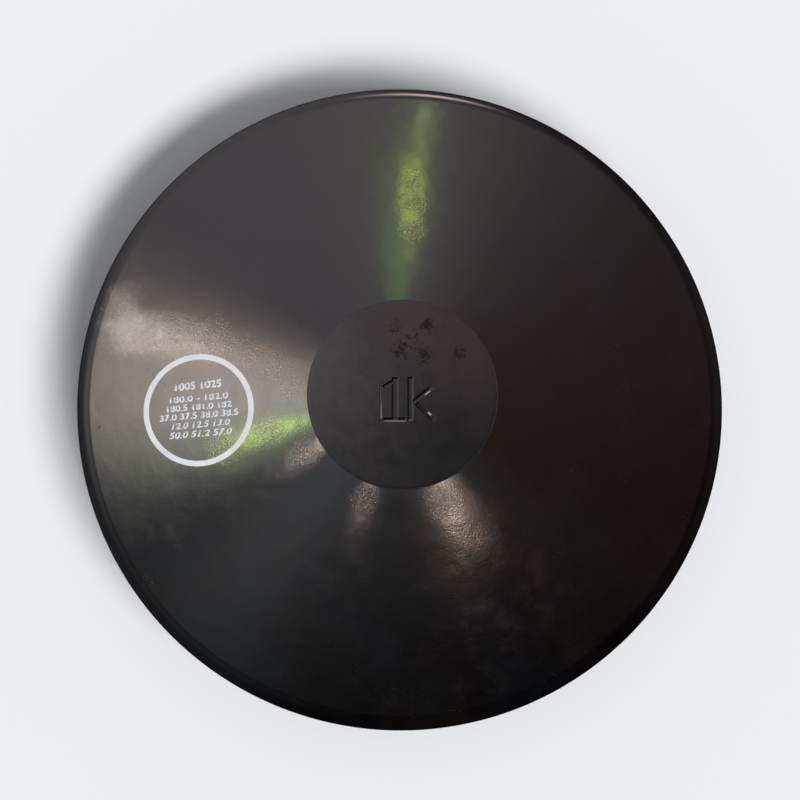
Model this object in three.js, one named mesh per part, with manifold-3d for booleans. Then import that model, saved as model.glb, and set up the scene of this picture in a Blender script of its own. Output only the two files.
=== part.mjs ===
// A moulded rubber discus of the one kilogram class, lying flat.
// Millimetres, +Z up. The origin is the middle of the face that it rests on.
// Two equal rubber mouldings meet at the parting plane and hold a steel core between them.

import * as THREE from "three";
import { mergeVertices } from "three/addons/utils/BufferGeometryUtils.js";
import Module from "manifold-3d";

const wasm = await Module();
wasm.setup();

// Driving dimensions of the discus
const discusDiameter = 181;
const discusThickness = 38;
const rimRadius = 6;
const trimBandHeight = 0.8;

// The flat centre of each face, and the fine groove that the edge of the mould's insert leaves in it
const centreDiameter = 51.2;
const grooveInset = 0.15;
const grooveWidth = 0.3;
const grooveDepth = 0.1;

// The steel core, with its middle hole and its ring of bonding holes
const coreDiameter = 108;
const coreThickness = 6;
const coreEdgeBevel = 0.5;
const middleHoleDiameter = 20;
const bondHoleDiameter = 12;
const bondCircleDiameter = 66;
const bondHoleCount = 8;

// Fits between the rubber and the steel, and the overlap of joined forms
const coreClearance = 0.3;
const joinOverrun = 1;

// Facets
const turnSteps = 96;
const rimSteps = 8;
const holeSteps = 24;
const plateSteps = 16;

// Sizes worked out from the driving dimensions
const discusRadius = discusDiameter / 2;
const halfThickness = discusThickness / 2;
const centreRadius = centreDiameter / 2;
const coreRadius = coreDiameter / 2;
const bondCircleRadius = bondCircleDiameter / 2;
const pocketDepth = coreThickness / 2;

const rubber = () => new THREE.MeshStandardMaterial({ color: 0x1d1c1e, roughness: 0.42, metalness: 0 });
const steel = () => new THREE.MeshStandardMaterial({ color: 0x8b8d90, roughness: 0.38, metalness: 1 });

// Joining needs shared corners, so a geometry keeps only its positions before it becomes a solid.
function toSolid(geometry) {
  const bare = geometry.clone();
  bare.deleteAttribute("normal");
  bare.deleteAttribute("uv");
  const merged = mergeVertices(bare);
  return new wasm.Manifold(
    new wasm.Mesh({
      numProp: 3,
      vertProperties: new Float32Array(merged.attributes.position.array),
      triVerts: new Uint32Array(merged.index.array),
    }),
  );
}

function toGeometry(solid) {
  const mesh = solid.getMesh();
  const geometry = new THREE.BufferGeometry();
  geometry.setAttribute("position", new THREE.BufferAttribute(mesh.vertProperties, mesh.numProp));
  geometry.setIndex(new THREE.BufferAttribute(mesh.triVerts, 1));
  geometry.computeVertexNormals();
  return geometry;
}

// The places of the bonding holes, and so of the pegs that fill them.
function bondPlaces() {
  const places = [];
  for (let hole = 0; hole < bondHoleCount; hole += 1) {
    const angle = (hole / bondHoleCount) * Math.PI * 2;
    places.push(new THREE.Vector2(Math.cos(angle), Math.sin(angle)).multiplyScalar(bondCircleRadius));
  }
  return places;
}

// The rim is a full round about the parting plane, cut flat in a narrow band where the moulding's
// flash was trimmed, and the band is at the full diameter. The straight side of the face leaves
// the round along the one line that touches it and passes through the edge of the centre.
function rimArc() {
  const bandHalf = trimBandHeight / 2;
  const roundCentre = discusRadius - Math.sqrt(rimRadius ** 2 - bandHalf ** 2);
  const reach = roundCentre - centreRadius;
  const taper = Math.atan2(halfThickness, reach) - Math.asin(rimRadius / Math.hypot(reach, halfThickness));
  const firstAngle = Math.asin(bandHalf / rimRadius);
  const lastAngle = Math.PI / 2 - taper;
  const points = [];
  for (let step = 0; step <= rimSteps; step += 1) {
    const angle = THREE.MathUtils.lerp(firstAngle, lastAngle, step / rimSteps);
    const swing = new THREE.Vector2(Math.cos(angle), Math.sin(angle)).multiplyScalar(rimRadius);
    points.push(new THREE.Vector2(roundCentre, 0).add(swing));
  }
  return points;
}

// Half a discus in section, from the parting plane up: the plug of rubber in the core's
// middle hole, the pocket for the core, the rim with its trimmed band, the side, and the flat
// centre with its groove.
function halfSection() {
  const arc = rimArc();
  const plugRadius = middleHoleDiameter / 2 - coreClearance;
  const pocketRadius = coreRadius + coreClearance;
  const grooveOuter = centreRadius - grooveInset;
  const grooveInner = grooveOuter - grooveWidth;
  const grooveMiddle = (grooveOuter + grooveInner) / 2;
  return [
    new THREE.Vector2(0, 0),
    new THREE.Vector2(plugRadius, 0),
    new THREE.Vector2(plugRadius, pocketDepth),
    new THREE.Vector2(pocketRadius, pocketDepth),
    new THREE.Vector2(pocketRadius, 0),
    new THREE.Vector2(arc[0].x, 0),
    ...arc,
    new THREE.Vector2(centreRadius, halfThickness),
    new THREE.Vector2(grooveOuter, halfThickness),
    new THREE.Vector2(grooveMiddle, halfThickness - grooveDepth),
    new THREE.Vector2(grooveInner, halfThickness),
    new THREE.Vector2(0, halfThickness),
  ];
}

// A peg reaches from inside the moulding, through its half of a bonding hole, to the parting plane.
function pegSolid(place) {
  const length = pocketDepth + joinOverrun;
  const radius = bondHoleDiameter / 2 - coreClearance;
  const peg = new THREE.CylinderGeometry(radius, radius, length, holeSteps);
  peg.rotateX(Math.PI / 2);
  peg.translate(place.x, place.y, length / 2);
  return toSolid(peg);
}

function rubberHalf(name) {
  const turned = new THREE.LatheGeometry(halfSection(), turnSteps);
  turned.rotateX(Math.PI / 2);
  let moulding = toSolid(turned);
  for (const place of bondPlaces()) {
    moulding = moulding.add(pegSolid(place));
  }
  const mesh = new THREE.Mesh(toGeometry(moulding), rubber());
  mesh.name = name;
  return mesh;
}

function steelCore(name) {
  const bodyRadius = coreRadius - coreEdgeBevel;
  const outline = new THREE.Shape().absarc(0, 0, bodyRadius, 0, Math.PI * 2, false);
  const middleRadius = middleHoleDiameter / 2 + coreEdgeBevel;
  outline.holes.push(new THREE.Path().absarc(0, 0, middleRadius, 0, Math.PI * 2, true));
  for (const place of bondPlaces()) {
    const holeRadius = bondHoleDiameter / 2 + coreEdgeBevel;
    outline.holes.push(new THREE.Path().absarc(place.x, place.y, holeRadius, 0, Math.PI * 2, true));
  }
  const plate = new THREE.ExtrudeGeometry(outline, {
    depth: coreThickness - coreEdgeBevel * 2,
    bevelEnabled: true,
    bevelSize: coreEdgeBevel,
    bevelThickness: coreEdgeBevel,
    bevelSegments: 1,
    curveSegments: plateSteps,
  });
  plate.translate(0, 0, coreEdgeBevel - pocketDepth);
  const mesh = new THREE.Mesh(plate, steel());
  mesh.name = name;
  return mesh;
}

const upperHalf = rubberHalf("upper_rubber_half");
const lowerHalf = rubberHalf("lower_rubber_half");
lowerHalf.rotation.x = Math.PI;
const core = steelCore("steel_core");

const discus = new THREE.Group();
discus.position.z = halfThickness;
discus.add(upperHalf, lowerHalf, core);

export default discus;
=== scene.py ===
import math
import bpy
from mathutils import Matrix, Vector


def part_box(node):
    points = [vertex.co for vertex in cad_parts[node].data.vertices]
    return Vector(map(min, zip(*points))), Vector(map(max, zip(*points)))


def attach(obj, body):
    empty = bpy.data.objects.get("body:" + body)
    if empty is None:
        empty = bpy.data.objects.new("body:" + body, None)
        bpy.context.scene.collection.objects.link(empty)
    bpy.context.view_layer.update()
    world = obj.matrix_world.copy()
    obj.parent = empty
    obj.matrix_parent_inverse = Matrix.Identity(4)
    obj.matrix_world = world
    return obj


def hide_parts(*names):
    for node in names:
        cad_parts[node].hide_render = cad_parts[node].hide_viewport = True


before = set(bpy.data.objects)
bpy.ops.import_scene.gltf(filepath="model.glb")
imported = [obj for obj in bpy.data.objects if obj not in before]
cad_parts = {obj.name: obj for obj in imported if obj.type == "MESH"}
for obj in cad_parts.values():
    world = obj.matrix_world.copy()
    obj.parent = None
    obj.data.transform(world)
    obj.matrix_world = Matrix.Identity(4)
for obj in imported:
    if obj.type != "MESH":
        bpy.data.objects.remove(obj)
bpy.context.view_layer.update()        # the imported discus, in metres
mm = 0.001

upperLow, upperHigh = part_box("upper_rubber_half")
discus = {
    "radius": upperHigh.x,
    "middle": upperLow.z,                      # height of the parting plane
    "halfThickness": upperHigh.z - upperLow.z,
    "rimRadius": 6 * mm,
    "bandHeight": 0.8 * mm,                    # flat left where the flash was trimmed
    "centreRadius": 25.6 * mm,
    "grooveInset": 0.15 * mm,
    "grooveWidth": 0.3 * mm,
    "grooveDepth": 0.1 * mm,
}
discus["halfBand"] = discus["bandHeight"] / 2
discus["roundCentre"] = discus["radius"] - math.sqrt(discus["rimRadius"] ** 2 - discus["halfBand"] ** 2)
discus["reach"] = discus["roundCentre"] - discus["centreRadius"]
discus["taper"] = math.atan2(discus["halfThickness"], discus["reach"]) - math.asin(
    discus["rimRadius"] / math.hypot(discus["reach"], discus["halfThickness"]))
discus["grooveOuter"] = discus["centreRadius"] - discus["grooveInset"]
discus["grooveInner"] = discus["grooveOuter"] - discus["grooveWidth"]
discus["grooveMiddle"] = (discus["grooveOuter"] + discus["grooveInner"]) / 2


def polar(radius, degrees, height=0.0):
    turn = math.radians(degrees)
    return Vector((radius * math.cos(turn), radius * math.sin(turn), height))


# editing helpers, each the same few clicks as by hand

def deselectAll():
    bpy.ops.object.select_all(action="DESELECT")


def pickOnly(piece):
    deselectAll()
    piece.select_set(True)
    bpy.context.view_layer.objects.active = piece


def settle(piece):
    pickOnly(piece)
    bpy.ops.object.transform_apply(location=True, rotation=True, scale=True)


def pickEdges(piece, test):
    pickOnly(piece)
    bpy.ops.object.mode_set(mode="EDIT")
    bpy.ops.mesh.select_mode(type="EDGE")
    bpy.ops.mesh.select_all(action="DESELECT")
    bpy.ops.object.mode_set(mode="OBJECT")
    points = piece.data.vertices
    for edge in piece.data.edges:
        edge.select = test([points[index].co for index in edge.vertices])
    bpy.ops.object.mode_set(mode="EDIT")


def pickFaces(piece, test):
    pickOnly(piece)
    bpy.ops.object.mode_set(mode="EDIT")
    bpy.ops.mesh.select_mode(type="FACE")
    bpy.ops.mesh.select_all(action="DESELECT")
    bpy.ops.object.mode_set(mode="OBJECT")
    for face in piece.data.polygons:
        face.select = test(face)
    bpy.ops.object.mode_set(mode="EDIT")


def bevelRing(piece, radius, height, width, segments):
    slack = 0.01 * mm
    pickEdges(piece, lambda ends: all(
        abs(end.xy.length - radius) < slack and abs(end.z - height) < slack
        for end in ends))
    bpy.ops.mesh.bevel(offset=width, segments=segments, profile=0.5, affect="EDGES")
    bpy.ops.object.mode_set(mode="OBJECT")


def boolean(piece, other, operation):
    pickOnly(piece)
    modifier = piece.modifiers.new("Boolean", "BOOLEAN")
    modifier.object = other
    modifier.operation = operation
    modifier.solver = "EXACT"
    bpy.ops.object.modifier_apply(modifier=modifier.name)
    bpy.data.objects.remove(other)


def facesOut(piece):
    doubles = 0.0005 * mm
    pickOnly(piece)
    bpy.ops.object.mode_set(mode="EDIT")
    bpy.ops.mesh.select_all(action="SELECT")
    bpy.ops.mesh.remove_doubles(threshold=doubles)
    bpy.ops.mesh.normals_make_consistent(inside=False)
    bpy.ops.object.mode_set(mode="OBJECT")


# smooth shading that leaves wide faces flat right up to their rounded edges
def smooth(piece, degrees):
    pickOnly(piece)
    bpy.ops.object.shade_smooth_by_angle(angle=math.radians(degrees))
    weighted = piece.modifiers.new("WeightedNormal", "WEIGHTED_NORMAL")
    weighted.keep_sharp = True
    bpy.ops.object.modifier_apply(modifier=weighted.name)


def give(piece, material):
    piece.data.materials.clear()
    piece.data.materials.append(material)


# one turned body: a ring is drawn up through the listed rings, from the bottom to the top
def turnedBody(name, rings, steps):
    deselectAll()
    radius, height = rings[0]
    bpy.ops.mesh.primitive_circle_add(vertices=steps, radius=radius, fill_type="NGON",
        location=(0, 0, height))
    piece = bpy.context.active_object
    piece.name = name
    bpy.ops.object.mode_set(mode="EDIT")
    for nextRadius, nextHeight in rings[1:]:
        lift = {"value": (0, 0, nextHeight - height)}
        bpy.ops.mesh.extrude_region_move(TRANSFORM_OT_translate=lift)
        grow = nextRadius / radius
        bpy.ops.transform.resize(value=(grow, grow, 1), center_override=(0, 0, nextHeight))
        radius, height = nextRadius, nextHeight
    bpy.ops.object.mode_set(mode="OBJECT")
    settle(piece)
    facesOut(piece)
    return piece


rubberHalf = {
    "turnSteps": 256,
    "rimSteps": 18,
    "sideSteps": 14,
    "floorShares": (0.97, 0.8, 0.55, 0.3),        # rings on the flat centre, of its radius
    "coreRadius": 54 * mm,
    "coreThickness": 6 * mm,
    "middleHoleRadius": 10 * mm,
    "bondHoleRadius": 6 * mm,
    "bondCircleRadius": 33 * mm,
    "bondHoles": 8,
    "clearance": 0.3 * mm,
    "holeSteps": 48,
    "edgeRounds": {                               # width of each rounded edge, and its segments
        "parting": (0.07 * mm, 2),
        "band": (0.1 * mm, 2),
        "centre": (0.08 * mm, 3),
        "grooveTop": (0.05 * mm, 2),
        "grooveFoot": (0.06 * mm, 2),
    },
    "smoothBelow": 30,                            # degrees between faces that shade as one
}


def sideHeight(radius):
    return discus["halfThickness"] - (radius - discus["centreRadius"]) * math.tan(discus["taper"])


# radius and height of each ring, from the parting plane up to the middle of the face
def faceRings():
    top = discus["halfThickness"]
    rings = [(discus["radius"], 0.0)]
    first = math.asin(discus["halfBand"] / discus["rimRadius"])
    last = math.pi / 2 - discus["taper"]
    for step in range(rubberHalf["rimSteps"] + 1):
        turn = first + (last - first) * step / rubberHalf["rimSteps"]
        radius = discus["roundCentre"] + discus["rimRadius"] * math.cos(turn)
        rings.append((radius, discus["rimRadius"] * math.sin(turn)))
    outer = rings[-1][0]
    for step in range(1, rubberHalf["sideSteps"] + 1):
        radius = outer + (discus["centreRadius"] - outer) * step / rubberHalf["sideSteps"]
        rings.append((radius, sideHeight(radius)))
    rings.append((discus["grooveOuter"], top))
    rings.append((discus["grooveMiddle"], top - discus["grooveDepth"]))
    rings.append((discus["grooveInner"], top))
    for share in rubberHalf["floorShares"]:
        rings.append((discus["grooveInner"] * share, top))
    return rings


# the room that the steel core takes, with the rubber plug and pegs left standing in it
def coreRoom():
    depth = rubberHalf["coreThickness"]
    deselectAll()
    bpy.ops.mesh.primitive_cylinder_add(vertices=rubberHalf["turnSteps"],
        radius=rubberHalf["coreRadius"] + rubberHalf["clearance"], depth=depth)
    room = bpy.context.active_object
    places = [(Vector(), rubberHalf["middleHoleRadius"])]
    for hole in range(rubberHalf["bondHoles"]):
        place = polar(rubberHalf["bondCircleRadius"], hole * 360 / rubberHalf["bondHoles"])
        places.append((place, rubberHalf["bondHoleRadius"]))
    for place, radius in places:
        deselectAll()
        bpy.ops.mesh.primitive_cylinder_add(vertices=rubberHalf["holeSteps"],
            radius=radius - rubberHalf["clearance"], depth=depth * 2, location=place)
        boolean(room, bpy.context.active_object, "DIFFERENCE")
    return room


# half a discus, standing on the parting plane at the world's own origin
def mouldedHalf(name):
    half = turnedBody(name, faceRings(), rubberHalf["turnSteps"])
    rounds = rubberHalf["edgeRounds"]
    top = discus["halfThickness"]
    bevelRing(half, discus["radius"], 0, *rounds["parting"])
    bevelRing(half, discus["radius"], discus["halfBand"], *rounds["band"])
    bevelRing(half, discus["centreRadius"], top, *rounds["centre"])
    bevelRing(half, discus["grooveOuter"], top, *rounds["grooveTop"])
    bevelRing(half, discus["grooveInner"], top, *rounds["grooveTop"])
    bevelRing(half, discus["grooveMiddle"], top - discus["grooveDepth"], *rounds["grooveFoot"])
    boolean(half, coreRoom(), "DIFFERENCE")
    return half


# the weight mark, sunk into the middle of the upper face, in plain strokes with rounded lips
weightMark = {
    "lipRound": 0.12 * mm,
    "wallSlope": 34,                              # degrees from the level
    "wallRun": 0.42 * mm,
    "floorRound": 0.1 * mm,
    "roundSteps": 4,
    "overrun": 0.4 * mm,
    "runOut": 0.8 * mm,                           # length of the ramp where a stroke dies out
    "strokes": {                                  # from, to, width in mm, and whether the end is a ramp
        "oneStem": ((-2.05, 4.6), (-2.05, -7.4), 2.0, False),
        "oneFlag": ((-5.3, 1.75), (-1.9, 3.65), 1.35, False),
        "oneFoot": ((-5.3, -6.9), (1.0, -6.9), 1.25, False),
        "kayStem": ((2.05, 4.7), (2.05, -7.3), 1.75, False),
        "kayArm": ((2.5, -2.35), (8.2, 2.05), 1.35, True),
        "kayLeg": ((3.5, -2.4), (8.7, -7.2), 1.35, True),
    },
}
# the edge of the stamp that holds the mark in the mould, left as a hair line at its left and foot
stampEdge = {
    "width": 0.5 * mm,
    "lipRound": 0.21 * mm,
    "lines": (                                    # from, to, depth in mm
        ((-5.95, 2.3), (-5.95, -6.7), 0.08),
        ((2.9, -8.4), (8.8, -8.4), 0.04),
    ),
}


# a bar over the surface whose underside is drawn down into a stroke, ring by ring
def strokeCutter(start, end, width, steps, runOut=0.0):
    run = end - start
    overrun = weightMark["overrun"]
    deselectAll()
    bpy.ops.mesh.primitive_cube_add(size=1, location=(start + end) / 2 + Vector((0, 0, overrun / 2)))
    bar = bpy.context.active_object
    bar.scale = (run.length, width, overrun)
    bar.rotation_euler.z = math.atan2(run.y, run.x)
    settle(bar)
    pickFaces(bar, lambda face: face.normal.z < -0.5)
    for inward, down in steps:
        bpy.ops.mesh.inset(thickness=inward, depth=down)
    bpy.ops.object.mode_set(mode="OBJECT")
    if runOut:
        lipFoot = start.z - weightMark["lipRound"] / 2
        middle = (start + end) / 2
        pickEdges(bar, lambda ends: all(
            point.z < lipFoot and (point - middle).dot(run) > 0
            for point in ends))
        bpy.ops.transform.translate(value=-run.normalized() * runOut)
        bpy.ops.object.mode_set(mode="OBJECT")
    return bar


# how far each ring of a stroke goes in and down: a rounded lip, a sloping wall and a rounded foot
def wallSteps():
    count = weightMark["roundSteps"]
    slope = math.radians(weightMark["wallSlope"])
    lip, foot = [], []
    for step in range(count):
        first, last = slope * step / count, slope * (step + 1) / count
        inward, down = math.sin(last) - math.sin(first), math.cos(first) - math.cos(last)
        lip.append((inward * weightMark["lipRound"], down * weightMark["lipRound"]))
        foot.append((inward * weightMark["floorRound"], down * weightMark["floorRound"]))
    wall = (weightMark["wallRun"], weightMark["wallRun"] * math.tan(slope))
    return lip + [wall] + foot[::-1]


def sinkStrokes(half, strokes, steps):
    cutter = None
    surface = Vector((0, 0, discus["halfThickness"]))
    for start, end, width, runOut in strokes:
        ends = [Vector((*place, 0)) * mm + surface for place in (start, end)]
        bar = strokeCutter(*ends, width, steps, runOut)
        if cutter:
            boolean(cutter, bar, "UNION")
        else:
            cutter = bar
    boolean(half, cutter, "DIFFERENCE")


def sinkMark(half):
    for start, end, depth in stampEdge["lines"]:
        sinkStrokes(half, [(start, end, stampEdge["width"], 0)], [(stampEdge["lipRound"], depth * mm)])
    strokes = []
    for start, end, width, ramp in weightMark["strokes"].values():
        strokes.append((start, end, width * mm, weightMark["runOut"] if ramp else 0))
    sinkStrokes(half, strokes, wallSteps())


def placeHalf(half, turned):
    pickOnly(half)
    half.location.z = discus["middle"]
    half.rotation_euler.x = math.pi if turned else 0
    settle(half)
    facesOut(half)
    smooth(half, rubberHalf["smoothBelow"])
    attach(half, "root")


# printed ring and figures, a thin layer of ink that follows the sloping face
ringPrint = {
    "centre": Vector((-55.3 * mm, -3.7 * mm, 0)),
    "outerRadius": 15.3 * mm,
    "innerRadius": 13.8 * mm,
    "steps": 192,
    "ink": 0.03 * mm,
    "gap": 0.015 * mm,
    "tilt": 4,                                    # degrees, rising to the right
    "lift": 2 * mm,                               # height over the face at which the print is drawn
    "rows": (                                     # figures, size, height, width, bold, slant
        ("1005 1025", 2.85, 6.7, 13.0, 0.13, 0),
        ("180.0 - 182.0", 2.4, 3.25, 16.3, 0.08, 0),
        ("180.5 181.0 182", 2.4, 0.85, 18.0, 0.08, 0),
        ("37.0 37.5 38.0 38.5", 2.4, -1.5, 21.9, 0.08, 0),
        ("12.0 12.5 13.0", 2.4, -4.0, 16.3, 0.08, 0.25),
        ("50.0 51.2 57.0", 2.4, -6.5, 17.6, 0.08, 0.25),
    ),
}


def layOn(piece, half):
    pickOnly(piece)
    wrap = piece.modifiers.new("Shrinkwrap", "SHRINKWRAP")
    wrap.target = half
    wrap.wrap_method = "PROJECT"
    wrap.use_project_z = True
    wrap.use_negative_direction = True
    wrap.use_positive_direction = False
    wrap.offset = ringPrint["gap"]
    bpy.ops.object.modifier_apply(modifier=wrap.name)
    thick = piece.modifiers.new("Solidify", "SOLIDIFY")
    thick.thickness = ringPrint["ink"]
    thick.offset = 1
    bpy.ops.object.modifier_apply(modifier=thick.name)
    facesOut(piece)
    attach(piece, "root")


def printedRing(half):
    deselectAll()
    lift = Vector((0, 0, upperHigh.z + ringPrint["lift"]))
    bpy.ops.mesh.primitive_circle_add(vertices=ringPrint["steps"], radius=ringPrint["outerRadius"],
        fill_type="NOTHING", location=ringPrint["centre"] + lift)
    ring = bpy.context.active_object
    ring.name = "printed_ring"
    bpy.ops.object.mode_set(mode="EDIT")
    bpy.ops.mesh.extrude_region_move()
    shrink = ringPrint["innerRadius"] / ringPrint["outerRadius"]
    bpy.ops.transform.resize(value=(shrink, shrink, 1), center_override=ringPrint["centre"] + lift)
    bpy.ops.mesh.select_all(action="SELECT")
    bpy.ops.mesh.normals_make_consistent(inside=False)
    bpy.ops.object.mode_set(mode="OBJECT")
    settle(ring)
    layOn(ring, half)
    return ring


def printedFigures(half):
    rows = []
    tilt = math.radians(ringPrint["tilt"])
    lift = Vector((0, 0, upperHigh.z + ringPrint["lift"]))
    for words, size, above, width, bold, slant in ringPrint["rows"]:
        deselectAll()
        raised = Vector((-math.sin(tilt), math.cos(tilt), 0)) * above * mm
        place = ringPrint["centre"] + raised + lift
        bpy.ops.object.text_add(location=place, rotation=(0, 0, tilt))
        text = bpy.context.active_object
        text.data.body = words
        text.data.size = size * mm
        text.data.offset = bold * mm
        text.data.shear = slant
        text.data.align_x = "CENTER"
        text.data.align_y = "CENTER"
        bpy.context.view_layer.update()
        text.scale.x = width * mm / text.dimensions.x
        bpy.ops.object.convert(target="MESH")
        rows.append(bpy.context.active_object)
    deselectAll()
    for row in rows:
        row.select_set(True)
    bpy.context.view_layer.objects.active = rows[0]
    bpy.ops.object.join()
    figures = bpy.context.active_object
    figures.name = "printed_figures"
    settle(figures)
    layOn(figures, half)
    return figures


# node helpers: each makes a node, feeds it, and gives back what comes out of it

def feed(tree, socket, value):
    if isinstance(value, bpy.types.NodeSocket):
        tree.links.new(value, socket)
    else:
        socket.default_value = value


def calc(tree, operation, *values):
    made = tree.nodes.new("ShaderNodeMath")
    made.operation = operation
    for socket, value in zip(made.inputs, values):
        feed(tree, socket, value)
    return made.outputs[0]


# a mask read as a value that runs from one figure to another
def between(tree, mask, low, high):
    return calc(tree, "ADD", low, calc(tree, "MULTIPLY", mask, high - low))


def vectorCalc(tree, operation, *values):
    made = tree.nodes.new("ShaderNodeVectorMath")
    made.operation = operation
    for socket, value in zip(made.inputs, values):
        feed(tree, socket, value)
    return made.outputs["Value" if operation in ("DISTANCE", "DOT_PRODUCT") else "Vector"]


# a smooth rise from 0 at the first figure to 1 at the second
def ramp(tree, value, start, end):
    made = tree.nodes.new("ShaderNodeMapRange")
    made.interpolation_type = "SMOOTHSTEP"
    feed(tree, made.inputs["Value"], value)
    feed(tree, made.inputs["From Min"], start)
    feed(tree, made.inputs["From Max"], end)
    return made.outputs["Result"]


def noise(tree, place, scale, detail=2.0, roughness=0.5, distortion=0.0):
    made = tree.nodes.new("ShaderNodeTexNoise")
    for label, given in zip(("Vector", "Scale", "Detail", "Roughness", "Distortion"),
            (place, scale, detail, roughness, distortion)):
        feed(tree, made.inputs[label], given)
    return made.outputs["Fac"]


def cells(tree, place, scale):
    made = tree.nodes.new("ShaderNodeTexVoronoi")
    feed(tree, made.inputs["Vector"], place)
    feed(tree, made.inputs["Scale"], scale)
    return made.outputs


def blend(tree, mask, first, second):
    made = tree.nodes.new("ShaderNodeMix")
    made.data_type = "RGBA"
    feed(tree, made.inputs["Factor"], mask)
    feed(tree, made.inputs[6], first)
    feed(tree, made.inputs[7], second)
    return made.outputs[2]


def bump(tree, height):
    made = tree.nodes.new("ShaderNodeBump")
    made.inputs["Distance"].default_value = 1
    feed(tree, made.inputs["Height"], height)
    return made.outputs["Normal"]


def newGroup(name, inputs, outputs):
    group = bpy.data.node_groups.new(name, "ShaderNodeTree")
    for label, kind in inputs.items():
        group.interface.new_socket(label, in_out="INPUT", socket_type="NodeSocket" + kind)
    for label in outputs:
        group.interface.new_socket(label, in_out="OUTPUT", socket_type="NodeSocketFloat")
    return group, group.nodes.new("NodeGroupInput").outputs, group.nodes.new("NodeGroupOutput").inputs


def useGroup(tree, group, **values):
    made = tree.nodes.new("ShaderNodeGroup")
    made.node_tree = group
    for label, value in values.items():
        feed(tree, made.inputs[label], value)
    return made.outputs


# fine pebbly grain, as a height in metres
def grainGroup():
    group, given, out = newGroup("mouldGrain",
        {"Place": "Vector", "Size": "Float", "Depth": "Float"}, ["Height"])
    pebbleWeight = -0.4
    scale = calc(group, "DIVIDE", 1.0, given["Size"])
    pebbles = cells(group, given["Place"], scale)["Distance"]
    rough = noise(group, given["Place"], scale, detail=2.0, roughness=0.55)
    height = calc(group, "ADD", calc(group, "MULTIPLY", pebbles, pebbleWeight), rough)
    feed(group, out["Height"], calc(group, "MULTIPLY", height, given["Depth"]))
    return group


# soft drifting variation, as of bloom on old rubber or dried wiping
def driftGroup():
    group, given, out = newGroup("drift",
        {"Place": "Vector", "Size": "Float", "Low": "Float", "High": "Float"}, ["Mask"])
    scale = calc(group, "DIVIDE", 1.0, given["Size"])
    cloud = noise(group, given["Place"], scale, detail=4.0, roughness=0.55, distortion=0.5)
    feed(group, out["Mask"], ramp(group, cloud, given["Low"], given["High"]))
    return group


# one place, worn, pitted or painted lighter: strongest in the middle and gone at its reach, with a torn
# outline
def blotGroup():
    group, given, out = newGroup("blot",
        {"Place": "Vector", "Torn": "Float", "Centre": "Vector", "Reach": "Float", "Strength": "Float"},
        ["Mask"])
    evenTear = 0.5                                # the torn noise lies about this
    away = vectorCalc(group, "DISTANCE", given["Place"], given["Centre"])
    away = calc(group, "DIVIDE", away, given["Reach"])
    edge = calc(group, "ADD", away, calc(group, "SUBTRACT", given["Torn"], evenTear))
    feed(group, out["Mask"], calc(group, "MULTIPLY", ramp(group, edge, 1.0, 0.0), given["Strength"]))
    return group


# separate round specks, more of them where the density is higher
def speckGroup():
    group, given, out = newGroup("specks",
        {"Place": "Vector", "Size": "Float", "Density": "Float"}, ["Mask"])
    speckEdge, speckCore = 0.42, 0.1              # shares of a cell
    fadeIn = 0.35
    cell = cells(group, given["Place"], calc(group, "DIVIDE", 1.0, given["Size"]))
    chance = vectorCalc(group, "DOT_PRODUCT", cell["Color"], (1, 0, 0))
    kept = ramp(group, calc(group, "SUBTRACT", given["Density"], chance), 0.0, fadeIn)
    dot = ramp(group, cell["Distance"], speckEdge, speckCore)
    feed(group, out["Mask"], calc(group, "MULTIPLY", dot, kept))
    return group


# small torn breaks in the skin, larger where the density is higher
def chipGroup():
    group, given, out = newGroup("chips",
        {"Place": "Vector", "Size": "Float", "Density": "Float"}, ["Mask"])
    densityWeight = 0.3
    chipEdge, chipCore = 0.73, 0.84
    scale = calc(group, "DIVIDE", 1.0, given["Size"])
    shape = noise(group, given["Place"], scale, detail=4.0, roughness=0.7)
    reach = calc(group, "ADD", shape, calc(group, "MULTIPLY", given["Density"], densityWeight))
    feed(group, out["Mask"], ramp(group, reach, chipEdge, chipCore))
    return group


# hair scratches, all lying roughly one way
def scratchGroup():
    group, given, out = newGroup("scratches",
        {"Place": "Vector", "Turn": "Float", "Length": "Float", "Fineness": "Float"}, ["Mask"])
    lineLevel, lineWidth = 0.62, 0.012
    gapLow, gapHigh = 0.5, 0.62
    gapsPerLine = 2.0
    turned = group.nodes.new("ShaderNodeVectorRotate")
    turned.rotation_type = "Z_AXIS"
    feed(group, turned.inputs["Vector"], given["Place"])
    feed(group, turned.inputs["Angle"], given["Turn"])
    along = calc(group, "DIVIDE", 1.0, given["Length"])
    across = calc(group, "DIVIDE", 1.0, given["Fineness"])
    spread = group.nodes.new("ShaderNodeCombineXYZ")
    feed(group, spread.inputs["X"], along)
    feed(group, spread.inputs["Y"], across)
    feed(group, spread.inputs["Z"], across)
    stretched = vectorCalc(group, "MULTIPLY", turned.outputs["Vector"], spread.outputs["Vector"])
    lines = noise(group, stretched, 1.0, detail=1.0, roughness=0.4)
    off = calc(group, "ABSOLUTE", calc(group, "SUBTRACT", lines, lineLevel))
    ridge = ramp(group, off, lineWidth, 0.0)
    gaps = noise(group, given["Place"], calc(group, "MULTIPLY", along, gapsPerLine))
    broken = ramp(group, gaps, gapLow, gapHigh)
    feed(group, out["Mask"], calc(group, "MULTIPLY", ridge, broken))
    return group


grain = grainGroup()
drift = driftGroup()
blot = blotGroup()
specks = speckGroup()
chips = chipGroup()
scratches = scratchGroup()


def newMaterial(name):
    material = bpy.data.materials.new(name)
    material.use_nodes = True
    tree = material.node_tree
    place = tree.nodes.new("ShaderNodeTexCoord").outputs["Object"]
    return material, tree, tree.nodes["Principled BSDF"], place
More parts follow.
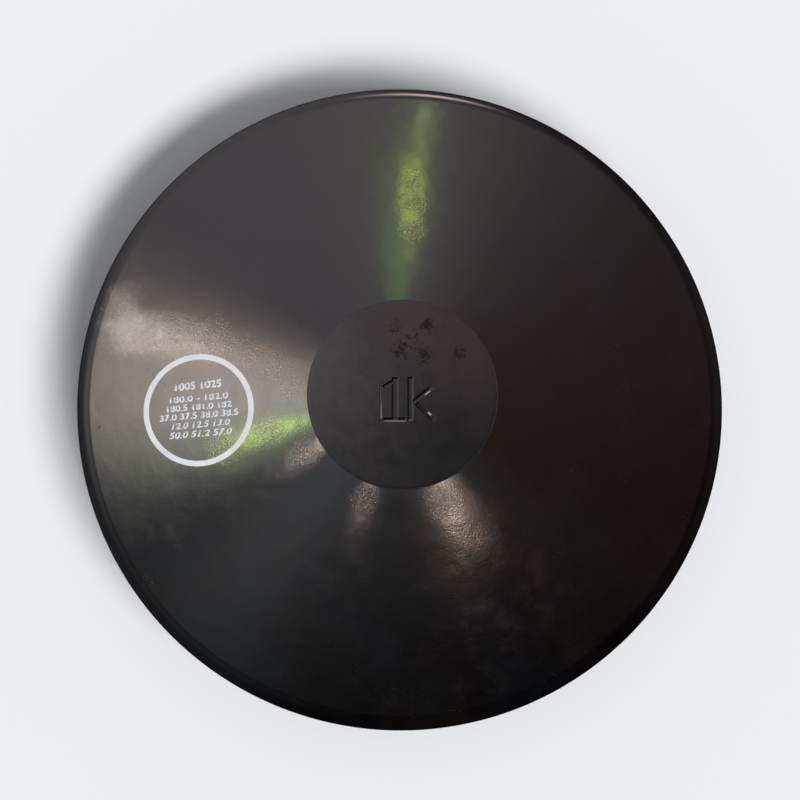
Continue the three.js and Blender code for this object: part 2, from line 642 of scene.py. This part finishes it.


# one mask out of several places on the upper face, worn, pitted or painted lighter
def placesMask(tree, place, torn, places):
    mask = None
    for x, y, reach, strength in places.values():
        centre = Vector((x, y, 0)) * mm
        onCone = sideHeight(max(centre.length, discus["centreRadius"]))
        centre.z = discus["middle"] + onCone
        spot = useGroup(tree, blot, Place=place, Torn=torn, Centre=centre, Reach=reach * mm,
            Strength=strength)["Mask"]
        mask = calc(tree, "MAXIMUM", mask, spot) if mask else spot
    return mask


rubberLook = {
    "black": (0.0014, 0.0012, 0.0012, 1),
    "brownBloom": (0.0036, 0.0027, 0.0024, 1),   # two faint blooms that drift over the black
    "blueBloom": (0.0024, 0.0032, 0.0050, 1),
    "film": (0.060, 0.040, 0.029, 1),            # thin brown film round the worn places, partly a painted highlight's warm tint
    "soilAndHighlight": (0.34, 0.27, 0.22, 1),               # pale dust held by the worn grain, partly a painted highlight where the worn places catch the light
    "paintedHighlight": (0.43, 0.375, 0.345, 1),             # painted highlight beside the rim, speckled like the dust
    "paintedGlint": (0.46, 0.44, 0.43, 1),             # painted glint: the mark's walls at two stroke ends, painted bright where they would catch the light
    "roughness": 0.10,
    "dullness": 0.08,                            # added where residue dulls the skin
    "evenDulling": 0.4,                          # the share of it that doesn't come in streaks
    "gritDullness": 0.2,                         # added where grit breaks up the worn places
    "cover": {                                   # how much of what is under it each layer hides
        "blue": 0.7,
        "film": 0.5,
        "fine": 0.35,
        "dustAndPaintedLight": 0.7,
        "flecks": 0.7,
        "scuffs": 0.05,
    },
    "dustSize": 0.62 * mm,
    "fineSize": 0.36 * mm,
    "fleckSize": 0.9 * mm,
    "fleckWear": 0.5,                            # flecks lie only where it is worn more than this
    "gritSize": 0.9 * mm,
    "gritWear": 0.6,                             # how much of it wear brings out
    "pitSize": 1.4 * mm,
    "pitDepth": 0.05 * mm,
    "grainSize": 0.45 * mm,
    "grainDepth": 0.0045 * mm,
    "wornDepth": 0.0225 * mm,
    "waveSize": 11 * mm,
    "waveDepth": 0.05 * mm,
    "rippleSize": 3.2 * mm,
    "rippleDepth": 0.009 * mm,
    "tornSize": 4 * mm,
    "highlightBetweenSpecks": 0.5,                               # how bright the painted highlight is between its specks
    "shift": (0.3, 0.2, 0.1),                    # metres, so that the second bloom drifts by itself
    "brownDrift": {"Size": 24 * mm, "Low": 0.42, "High": 0.7},
    "blueDrift": {"Size": 19 * mm, "Low": 0.42, "High": 0.7},
    "residueDrift": {"Size": 7 * mm, "Low": 0.42, "High": 0.68},
    "streakDrift": {"Size": 7 * mm, "Low": 0.4, "High": 0.7},
    "streakStretch": (1, 0.35, 1),
    "scuffLines": {"Turn": 0.6, "Length": 14 * mm, "Fineness": 0.5 * mm},
    "leftFacing": (0.2, 0.34),                   # how squarely a wall faces left to take the painted glint
    # the worn places lie where the highlights fall, and their dust and film are partly painted highlight
    "wornAndHighlightPlaces": {                              # x, y, reach in mm, strength, on the upper face
        "rimLeft": (-78.5, 25.0, 10.0, 0.85),
        "rimLeftLow": (-73.0, 17.5, 10.0, 0.9),
        "bandOuter": (-61.0, 17.0, 10.0, 0.45),
        "bandMiddle": (-50.5, 15.5, 12.0, 0.65),
        "bandNear": (-43.0, 10.0, 10.0, 0.6),
        "bandInner": (-36.0, 6.5, 10.0, 0.6),
        "hubLeft": (-30.0, 1.5, 8.0, 0.6),
        "hubLowerLeft": (-26.5, -16.0, 7.0, 0.65),
        "nearRing": (-37.0, -9.5, 9.0, 0.55),
        "inRing": (-48.0, -13.5, 9.0, 0.5),
        "topNear": (2.9, 46.0, 6.0, 1.0),
        "topMiddle": (3.0, 53.5, 6.5, 0.8),
        "topFar": (3.2, 60.5, 6.0, 0.7),
        "belowRight": (10.5, -28.5, 8.5, 0.9),
        "belowRightFar": (17.0, -37.5, 11.0, 0.5),
        "belowLeft": (-10.0, -28.5, 6.5, 0.65),
    },
    # painted highlight where the rim catches the brightest light, x, y, reach in mm, strength
    "paintedHighlightPlaces": {
        "rimPatch": (-75.5, 19.0, 11.0, 1.0),
        "rimPatchHigh": (-77.0, 26.5, 8.0, 0.55),
    },
    # where the painted glint lies, x, y, reach in mm, strength
    "paintedGlintPlaces": {
        "armEnd": (6.6, 0.3, 1.1, 1.7),
        "legEnd": (7.1, -5.4, 1.0, 1.5),
    },
    "pittedPlaces": {                            # small dull places with dark pits
        "besideRing": (-68.0, 6.5, 7.0, 0.45),
        "besideRingLow": (-63.0, 3.0, 5.0, 0.4),
        "upperLeft": (-66.0, 37.5, 4.5, 0.6),
        "upperLeftSmall": (-78.0, 39.0, 3.0, 0.6),
        "leftRim": (-84.0, -8.0, 5.0, 0.4),
        "aboveCentre": (-8.0, 33.0, 4.0, 0.5),
        "lowerLeft": (-69.0, -50.0, 4.5, 0.6),
        "below": (-12.0, -44.0, 7.0, 0.4),
        "lowRim": (16.0, -84.0, 9.0, 0.5),
    },
}


def rubberMaterial():
    material, tree, shader, place = newMaterial("blackRubber")
    look = rubberLook
    torn = noise(tree, place, 1 / look["tornSize"], detail=4.0, roughness=0.65)
    wornAndHighlight = placesMask(tree, place, torn, look["wornAndHighlightPlaces"])
    pitted = placesMask(tree, place, torn, look["pittedPlaces"])
    paintedHighlight = placesMask(tree, place, torn, look["paintedHighlightPlaces"])
    # painted glint: the left-facing walls at the ends of the arm and leg are painted bright
    normal = tree.nodes.new("ShaderNodeNewGeometry").outputs["Normal"]
    leftward = vectorCalc(tree, "DOT_PRODUCT", normal, (-1, 0, 0))
    paintedGlint = placesMask(tree, place, torn, look["paintedGlintPlaces"])
    paintedGlint = calc(tree, "MULTIPLY", paintedGlint, ramp(tree, leftward, *look["leftFacing"]))
    dustAndPaintedLight = useGroup(tree, specks, Place=place, Size=look["dustSize"], Density=wornAndHighlight)["Mask"]
    fine = useGroup(tree, specks, Place=place, Size=look["fineSize"], Density=wornAndHighlight)["Mask"]
    mostWornAndHighlight = calc(tree, "SUBTRACT", wornAndHighlight, look["fleckWear"])
    flecks = useGroup(tree, specks, Place=place, Size=look["fleckSize"], Density=mostWornAndHighlight)["Mask"]
    pits = useGroup(tree, chips, Place=place, Size=look["pitSize"], Density=pitted)["Mask"]
    lessWorn = calc(tree, "MULTIPLY", wornAndHighlight, look["gritWear"])
    grit = useGroup(tree, chips, Place=place, Size=look["gritSize"], Density=lessWorn)["Mask"]
    brown = useGroup(tree, drift, Place=place, **look["brownDrift"])["Mask"]
    moved = vectorCalc(tree, "ADD", place, look["shift"])
    blue = useGroup(tree, drift, Place=moved, **look["blueDrift"])["Mask"]
    stretched = vectorCalc(tree, "MULTIPLY", place, look["streakStretch"])
    streaks = useGroup(tree, drift, Place=stretched, **look["streakDrift"])["Mask"]
    residue = useGroup(tree, drift, Place=moved, **look["residueDrift"])["Mask"]
    scuffs = useGroup(tree, scratches, Place=place, **look["scuffLines"])["Mask"]

    cover = look["cover"]
    colour = blend(tree, brown, look["black"], look["brownBloom"])
    colour = blend(tree, calc(tree, "MULTIPLY", blue, cover["blue"]), colour, look["blueBloom"])
    # film and dust specks on the worn places: real dust, partly painted highlight
    colour = blend(tree, calc(tree, "MULTIPLY", wornAndHighlight, cover["film"]), colour, look["film"])
    colour = blend(tree, calc(tree, "MULTIPLY", fine, cover["fine"]), colour, look["soilAndHighlight"])
    colour = blend(tree, calc(tree, "MULTIPLY", dustAndPaintedLight, cover["dustAndPaintedLight"]), colour, look["soilAndHighlight"])
    colour = blend(tree, calc(tree, "MULTIPLY", flecks, cover["flecks"]), colour, look["soilAndHighlight"])
    # painted highlight beside the rim, speckled by the fine dust
    highlightGrain = calc(tree, "MULTIPLY", paintedHighlight, between(tree, fine, look["highlightBetweenSpecks"], 1.0))
    colour = blend(tree, highlightGrain, colour, look["paintedHighlight"])
    colour = blend(tree, calc(tree, "MULTIPLY", scuffs, cover["scuffs"]), colour, look["soilAndHighlight"])
    # the painted glint on the mark's walls goes on last
    colour = blend(tree, paintedGlint, colour, look["paintedGlint"])
    feed(tree, shader.inputs["Base Color"], blend(tree, pits, colour, look["black"]))

    dull = calc(tree, "MULTIPLY", calc(tree, "MAXIMUM", residue, pitted), look["dullness"])
    dull = calc(tree, "MULTIPLY", dull, between(tree, streaks, look["evenDulling"], 1.0))
    dull = calc(tree, "ADD", dull, calc(tree, "MULTIPLY", grit, look["gritDullness"]))
    feed(tree, shader.inputs["Roughness"], calc(tree, "ADD", look["roughness"], dull))

    depth = calc(tree, "ADD", look["grainDepth"], calc(tree, "MULTIPLY", wornAndHighlight, look["wornDepth"]))
    height = useGroup(tree, grain, Place=place, Size=look["grainSize"], Depth=depth)["Height"]
    waves = noise(tree, place, 1 / look["waveSize"])
    height = calc(tree, "ADD", height, calc(tree, "MULTIPLY", waves, look["waveDepth"]))
    ripples = noise(tree, moved, 1 / look["rippleSize"], detail=3.0, roughness=0.6, distortion=0.4)
    height = calc(tree, "ADD", height, calc(tree, "MULTIPLY", ripples, look["rippleDepth"]))
    height = calc(tree, "SUBTRACT", height, calc(tree, "MULTIPLY", pits, look["pitDepth"]))
    feed(tree, shader.inputs["Normal"], bump(tree, height))
    return material


# the flat centre comes duller from the mould, and is painted lighter at its left and top, as painted light
centreLook = {
    "matt": (0.0030, 0.0034, 0.0045, 1),
    "cloud": (0.0066, 0.0066, 0.0074, 1),
    "dustAndPaintedLight": (0.056, 0.052, 0.055, 1),            # painted light: the left and top of the flat centre painted lighter
    "paintedLightPlaces": {"left": (-34.0, 12.0, 54.0, 1.0), "top": (-6.0, 32.0, 32.0, 0.7)},
    "film": (0.041, 0.031, 0.031, 1),            # brown film at its upper right
    "filmPlaces": {"middle": (2.0, 19.0, 19.0, 1.0), "upperRight": (18.0, 14.0, 30.0, 0.7)},
    "filmCover": 0.9,
    "pitColour": (0.0010, 0.0010, 0.0011, 1),
    "pitCover": 0.9,
    "roughness": (0.4, 0.5),                     # in the dark parts and in the cloudy ones
    "shine": 0.23,                               # the level of its reflections
    "clouds": {"Size": 9 * mm, "Low": 0.4, "High": 0.7},
    "grainSize": 0.45 * mm,
    "grainDepth": 0.008 * mm,
    "pitSize": 0.8 * mm,
    "pitDepth": 0.06 * mm,
    "tornSize": 3 * mm,
    "softTear": (0.3, 0.7),                      # gentler outlines for the painted light and the film
    "skinDepth": 1 * mm,                         # the flat centre's faces lie this near the top
    "markShare": 0.5,                            # the mark lies within this share of its radius
    "levelNormal": 0.95,                         # faces that lean more than this are walls of the mark
    "pittedPlaces": {
        "high": (6.4, 18.8, 6.0, 1.1),
        "highLeft": (-1.5, 18.5, 6.0, 0.9),
        "between": (2.5, 15.5, 6.0, 0.8),
        "row": (-0.5, 12.0, 7.0, 1.0),
        "rowRight": (5.4, 10.8, 7.0, 1.0),
        "far": (15.2, 11.0, 5.0, 1.0),
    },
}


def centreMaterial():
    material, tree, shader, place = newMaterial("mattRubber")
    look = centreLook
    torn = noise(tree, place, 1 / look["tornSize"], detail=4.0, roughness=0.65)
    soft = between(tree, torn, *look["softTear"])
    paintedLight = placesMask(tree, place, soft, look["paintedLightPlaces"])
    pitted = placesMask(tree, place, torn, look["pittedPlaces"])
    filmed = placesMask(tree, place, soft, look["filmPlaces"])
    pits = useGroup(tree, chips, Place=place, Size=look["pitSize"], Density=pitted)["Mask"]
    cloud = useGroup(tree, drift, Place=place, **look["clouds"])["Mask"]
    colour = blend(tree, cloud, look["matt"], look["cloud"])
    # painted light: lighter at the left and top of the flat centre
    colour = blend(tree, paintedLight, colour, look["dustAndPaintedLight"])
    colour = blend(tree, calc(tree, "MULTIPLY", filmed, look["filmCover"]), colour, look["film"])
    colour = blend(tree, calc(tree, "MULTIPLY", pits, look["pitCover"]), colour, look["pitColour"])
    feed(tree, shader.inputs["Base Color"], colour)
    feed(tree, shader.inputs["Roughness"], between(tree, cloud, *look["roughness"]))
    shader.inputs["Specular IOR Level"].default_value = look["shine"]
    height = useGroup(tree, grain, Place=place, Size=look["grainSize"], Depth=look["grainDepth"])["Height"]
    height = calc(tree, "SUBTRACT", height, calc(tree, "MULTIPLY", pits, look["pitDepth"]))
    feed(tree, shader.inputs["Normal"], bump(tree, height))
    return material


# the level faces of the flat centre take the second material, and the mark's walls keep the glossy one
def giveCentre(half, material):
    half.data.materials.append(material)
    edge = discus["centreRadius"]
    markReach = edge * centreLook["markShare"]
    top = discus["halfThickness"] - centreLook["skinDepth"]
    for face in half.data.polygons:
        away = face.center.xy.length
        wall = away < markReach and abs(face.normal.z) < centreLook["levelNormal"]
        if away < edge and abs(face.center.z - discus["middle"]) > top and not wall:
            face.material_index = 1


inkLook = {
    "white": (0.8, 0.82, 0.86, 1),
    "faded": (0.72, 0.735, 0.77, 1),
    "bare": (0.25, 0.25, 0.26, 1),               # the rubber that shows through hair scratches
    "bareCover": 0.5,
    "roughness": (0.5, 0.65),                    # where it is fresh and where it is faded
    "fading": {"Size": 5 * mm, "Low": 0.4, "High": 0.75},
    "scratches": {"Turn": 1.1, "Length": 3 * mm, "Fineness": 0.12 * mm},
    "grainSize": 0.3 * mm,
    "grainDepth": 0.008 * mm,
}


def inkMaterial():
    material, tree, shader, place = newMaterial("whiteInk")
    look = inkLook
    faded = useGroup(tree, drift, Place=place, **look["fading"])["Mask"]
    bare = useGroup(tree, scratches, Place=place, **look["scratches"])["Mask"]
    height = useGroup(tree, grain, Place=place, Size=look["grainSize"], Depth=look["grainDepth"])["Height"]
    colour = blend(tree, faded, look["white"], look["faded"])
    colour = blend(tree, calc(tree, "MULTIPLY", bare, look["bareCover"]), colour, look["bare"])
    feed(tree, shader.inputs["Base Color"], colour)
    feed(tree, shader.inputs["Roughness"], between(tree, faded, *look["roughness"]))
    feed(tree, shader.inputs["Normal"], bump(tree, height))
    return material


steelLook = {
    "clean": (0.46, 0.47, 0.49, 1),
    "tarnished": (0.33, 0.31, 0.29, 1),
    "roughness": (0.32, 0.47),                   # where it is clean and where it is tarnished
    "brushedDullness": 0.1,
    "tarnish": {"Size": 12 * mm, "Low": 0.45, "High": 0.7},
    "brushing": {"Turn": 0.2, "Length": 20 * mm, "Fineness": 0.2 * mm},
    "drawn": (0.05, 1, 1),                       # stretches the grain along X
    "grainSize": 0.25 * mm,
    "grainDepth": 0.01 * mm,
}


def steelMaterial():
    material, tree, shader, place = newMaterial("plateSteel")
    look = steelLook
    shader.inputs["Metallic"].default_value = 1
    tarnish = useGroup(tree, drift, Place=place, **look["tarnish"])["Mask"]
    brushed = useGroup(tree, scratches, Place=place, **look["brushing"])["Mask"]
    drawn = vectorCalc(tree, "MULTIPLY", place, look["drawn"])
    height = useGroup(tree, grain, Place=drawn, Size=look["grainSize"], Depth=look["grainDepth"])["Height"]
    feed(tree, shader.inputs["Base Color"], blend(tree, tarnish, look["clean"], look["tarnished"]))
    gloss = between(tree, tarnish, *look["roughness"])
    gloss = calc(tree, "ADD", gloss, calc(tree, "MULTIPLY", brushed, look["brushedDullness"]))
    feed(tree, shader.inputs["Roughness"], gloss)
    feed(tree, shader.inputs["Normal"], bump(tree, height))
    return material


upper = mouldedHalf("upper_rubber")
sinkMark(upper)
placeHalf(upper, turned=False)
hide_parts("upper_rubber_half")
lower = mouldedHalf("lower_rubber")
placeHalf(lower, turned=True)
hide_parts("lower_rubber_half")
print("rubber halves:", len(upper.data.polygons), len(lower.data.polygons), "faces")

rubber = rubberMaterial()
give(upper, rubber)
give(lower, rubber)
matt = centreMaterial()
giveCentre(upper, matt)
giveCentre(lower, matt)
ring = printedRing(upper)
figures = printedFigures(upper)
ink = inkMaterial()
give(ring, ink)
give(figures, ink)
give(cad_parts["steel_core"], steelMaterial())
print("print and core done")

# studio: a pale floor, a soft key that casts the shadow, a dim surround and soft boxes for the gloss
studio = {
    "floorSize": 8.0,
    "floorColour": (0.9, 0.905, 0.925, 1),
    "ambient": (0.272, 0.275, 0.283, 1),
    "keyEnergy": 2.93,                           # shared by three suns side by side
    "keySpread": 16,
    "keyAzimuths": (-66, -50, -34),              # degrees round from +X
    "keyDrop": 43,                               # degrees down from the vertical
    "boxDistance": 1.2,
}
surround = {    # azimuth, drop, tightness, brightness, colour
    "upperLeft": (120, 38, 9, 0.84, (0.97, 0.91, 1)),
    "upperRight": (60, 42, 14, 0.42, (1, 0.8, 0.82)),
    "horizon": (118, 74, 3, 0.9, (1, 0.92, 0.97)),
    "right": (14, 24, 18, 0.34, (1, 0.64, 0.54)),
    "lowerRight": (-33, 20, 90, 0.42, (1, 0.92, 0.9)),
    "window": (160.5, 32.4, 100, 5.6, (1, 0.86, 0.75)),
    "windowNear": (173, 29.5, 150, 4.1, (0.99, 0.97, 0.91)),
    "windowLow": (-178, 27.0, 300, 2.4, (0.94, 1, 0.84)),
    "left": (172, 60, 20, 1.15, (0.95, 0.97, 1)),
    "lowerLeft": (-143, 22, 70, 1.05, (0.9, 0.93, 1)),
    "below": (-96, 15, 70, 0.75, (0.93, 0.94, 1)),
    "glowBelow": (-66, 21, 400, 1.4, (1, 0.74, 0.64)),
    "glowTop": (86, 41, 60, 0.6, (0.95, 1, 0.75)),
    "skirtLeft": (-140, 52, 14, 0.2, (0.9, 0.94, 1)),
    "horizonLeft": (-170, 86, 3, 0.2, (0.92, 0.95, 1)),
    "horizonRight": (20, 84, 5, 0.16, (1, 0.85, 0.8)),
    "rimGlow": (84, 80, 110, 9.5, (1, 0.84, 0.84)),
}
softBoxes = {    # azimuth, drop, width, height, turn, brightness, colour
    "windowRim": (155.2, 37.6, 4.4, 2.6, 0, 16.0, (1, 0.87, 0.79)),
    "windowBand": (155.3, 34.2, 8.5, 2.8, -57, 2.4, (1, 0.62, 0.4)),
    "leafRight": (-177.6, 28.5, 3.0, 1.2, 8, 40.0, (0.6, 1, 0.02)),
    "leafLeft": (-175.5, 29.8, 2.6, 1.0, 0, 36.0, (0.6, 1, 0.02)),
    "leafGlow": (-172, 29.5, 9, 4, 0, 0.5, (0.45, 1, 0.3)),
    "spotHubLeft": (-160, 24.9, 2.8, 1.6, 0, 38.0, (1, 0.8, 0.7)),
    "streakTop": (85.8, 41.1, 2.2, 2.8, 0, 23.0, (0.72, 1, 0.08)),
    "streakLow": (91, 36.6, 6.4, 2.6, 0, 1.8, (0.3, 1, 0.12)),
    "streakGlow": (88, 39.6, 8.6, 6.0, 0, 0.75, (0.6, 1, 0.3)),
    "streakPale": (84.3, 45.2, 1.3, 1.8, 0, 12.0, (0.75, 1, 0.4)),
    "spotRight": (-57.2, 23.6, 4.4, 1.6, 0, 46.0, (1, 0.8, 0.7)),
    "spotRightFar": (-54.0, 25.8, 9.5, 3.0, 0, 3.6, (1, 0.67, 0.5)),
    "spotLeft": (-112, 22.5, 2.4, 1.2, 0, 30.0, (1, 0.8, 0.68)),
}


def direction(azimuth, drop):
    return polar(math.sin(math.radians(drop)), azimuth, math.cos(math.radians(drop)))


def lightTowards(light, azimuth, drop, distance):
    away = direction(azimuth, drop)
    light.location = Vector((0, 0, discus["middle"])) + away * distance
    light.rotation_euler = away.to_track_quat("Z", "Y").to_euler()


# an oval soft box that only the gloss picks up, its width and height in degrees seen from the discus
def addSoftBox(name, azimuth, drop, width, height, turn, brightness, colour):
    data = bpy.data.lights.new(name, "AREA")
    data.shape = "ELLIPSE"
    data.size = math.radians(width) * studio["boxDistance"]
    data.size_y = math.radians(height) * studio["boxDistance"]
    data.color = colour
    area = math.pi * data.size * data.size_y / 4
    data.energy = brightness * math.pi * area
    box = bpy.data.objects.new(name, data)
    bpy.context.scene.collection.objects.link(box)
    lightTowards(box, azimuth, drop, studio["boxDistance"])
    box.rotation_euler.rotate_axis("Z", math.radians(turn))
    box.visible_diffuse = False
    box.visible_camera = False


# the surround is pale to the camera, even for soft light, and a sum of wide soft lobes for the gloss
def buildSurround():
    world = bpy.data.worlds.new("studioWorld")
    bpy.context.scene.world = world
    world.use_nodes = True
    world.cycles.sampling_method = "NONE"
    tree = world.node_tree
    towards = tree.nodes.new("ShaderNodeTexCoord").outputs["Generated"]
    total = None
    for azimuth, drop, tightness, brightness, colour in surround.values():
        facing = vectorCalc(tree, "DOT_PRODUCT", towards, direction(azimuth, drop))
        lobe = calc(tree, "POWER", calc(tree, "MAXIMUM", facing, 0.0), tightness)
        tinted = vectorCalc(tree, "MULTIPLY", lobe, Vector(colour) * brightness)
        total = vectorCalc(tree, "ADD", total, tinted) if total else tinted
    path = tree.nodes.new("ShaderNodeLightPath").outputs
    seen = blend(tree, path["Is Glossy Ray"], studio["ambient"], total)
    seen = blend(tree, path["Is Camera Ray"], seen, studio["floorColour"])
    feed(tree, tree.nodes["Background"].inputs["Color"], seen)


def buildStudio():
    deselectAll()
    bpy.ops.mesh.primitive_plane_add(size=studio["floorSize"])
    floor = bpy.context.active_object
    floor.name = "studio_floor"
    material = bpy.data.materials.new("paleFloor")
    material.use_nodes = True
    shader = material.node_tree.nodes["Principled BSDF"]
    shader.inputs["Base Color"].default_value = studio["floorColour"]
    shader.inputs["Roughness"].default_value = 1
    shader.inputs["Specular IOR Level"].default_value = 0
    give(floor, material)
    floor.visible_glossy = False
    buildSurround()

    for azimuth in studio["keyAzimuths"]:
        data = bpy.data.lights.new("key", "SUN")
        data.energy = studio["keyEnergy"] / len(studio["keyAzimuths"])
        data.angle = math.radians(studio["keySpread"])
        key = bpy.data.objects.new("key", data)
        bpy.context.scene.collection.objects.link(key)
        lightTowards(key, azimuth, studio["keyDrop"], studio["boxDistance"])
        key.visible_glossy = False
    for name, box in softBoxes.items():
        addSoftBox(name, *box)


buildStudio()

# camera, almost straight above
view = {
    "aim": Vector((-0.32 * mm, 0.56 * mm, discus["middle"])),
    "elevation": 83.33,
    "azimuth": -11.0,
    "distance": 390.7 * mm,
    "lens": 62.5,
    "sensor": 36.0,
    "clipStart": 10 * mm,
}


def addCamera():
    data = bpy.data.cameras.new("camera")
    data.lens = view["lens"]
    data.sensor_width = view["sensor"]
    data.clip_start = view["clipStart"]
    camera = bpy.data.objects.new("camera", data)
    bpy.context.scene.collection.objects.link(camera)
    tilt = math.radians(view["elevation"])
    turn = math.radians(view["azimuth"])
    back = Vector((math.sin(turn) * math.cos(tilt), -math.cos(turn) * math.cos(tilt), math.sin(tilt)))
    camera.location = view["aim"] + back * view["distance"]
    camera.rotation_mode = "QUATERNION"
    right = Vector((0, 1, 0)).cross(back).normalized()    # +Y of the discus is up in the picture
    up = back.cross(right)
    camera.rotation_quaternion = Matrix((right, up, back)).transposed().to_quaternion()
    bpy.context.scene.camera = camera


addCamera()
bpy.context.scene.view_settings.view_transform = "Standard"
print("studio and camera done")
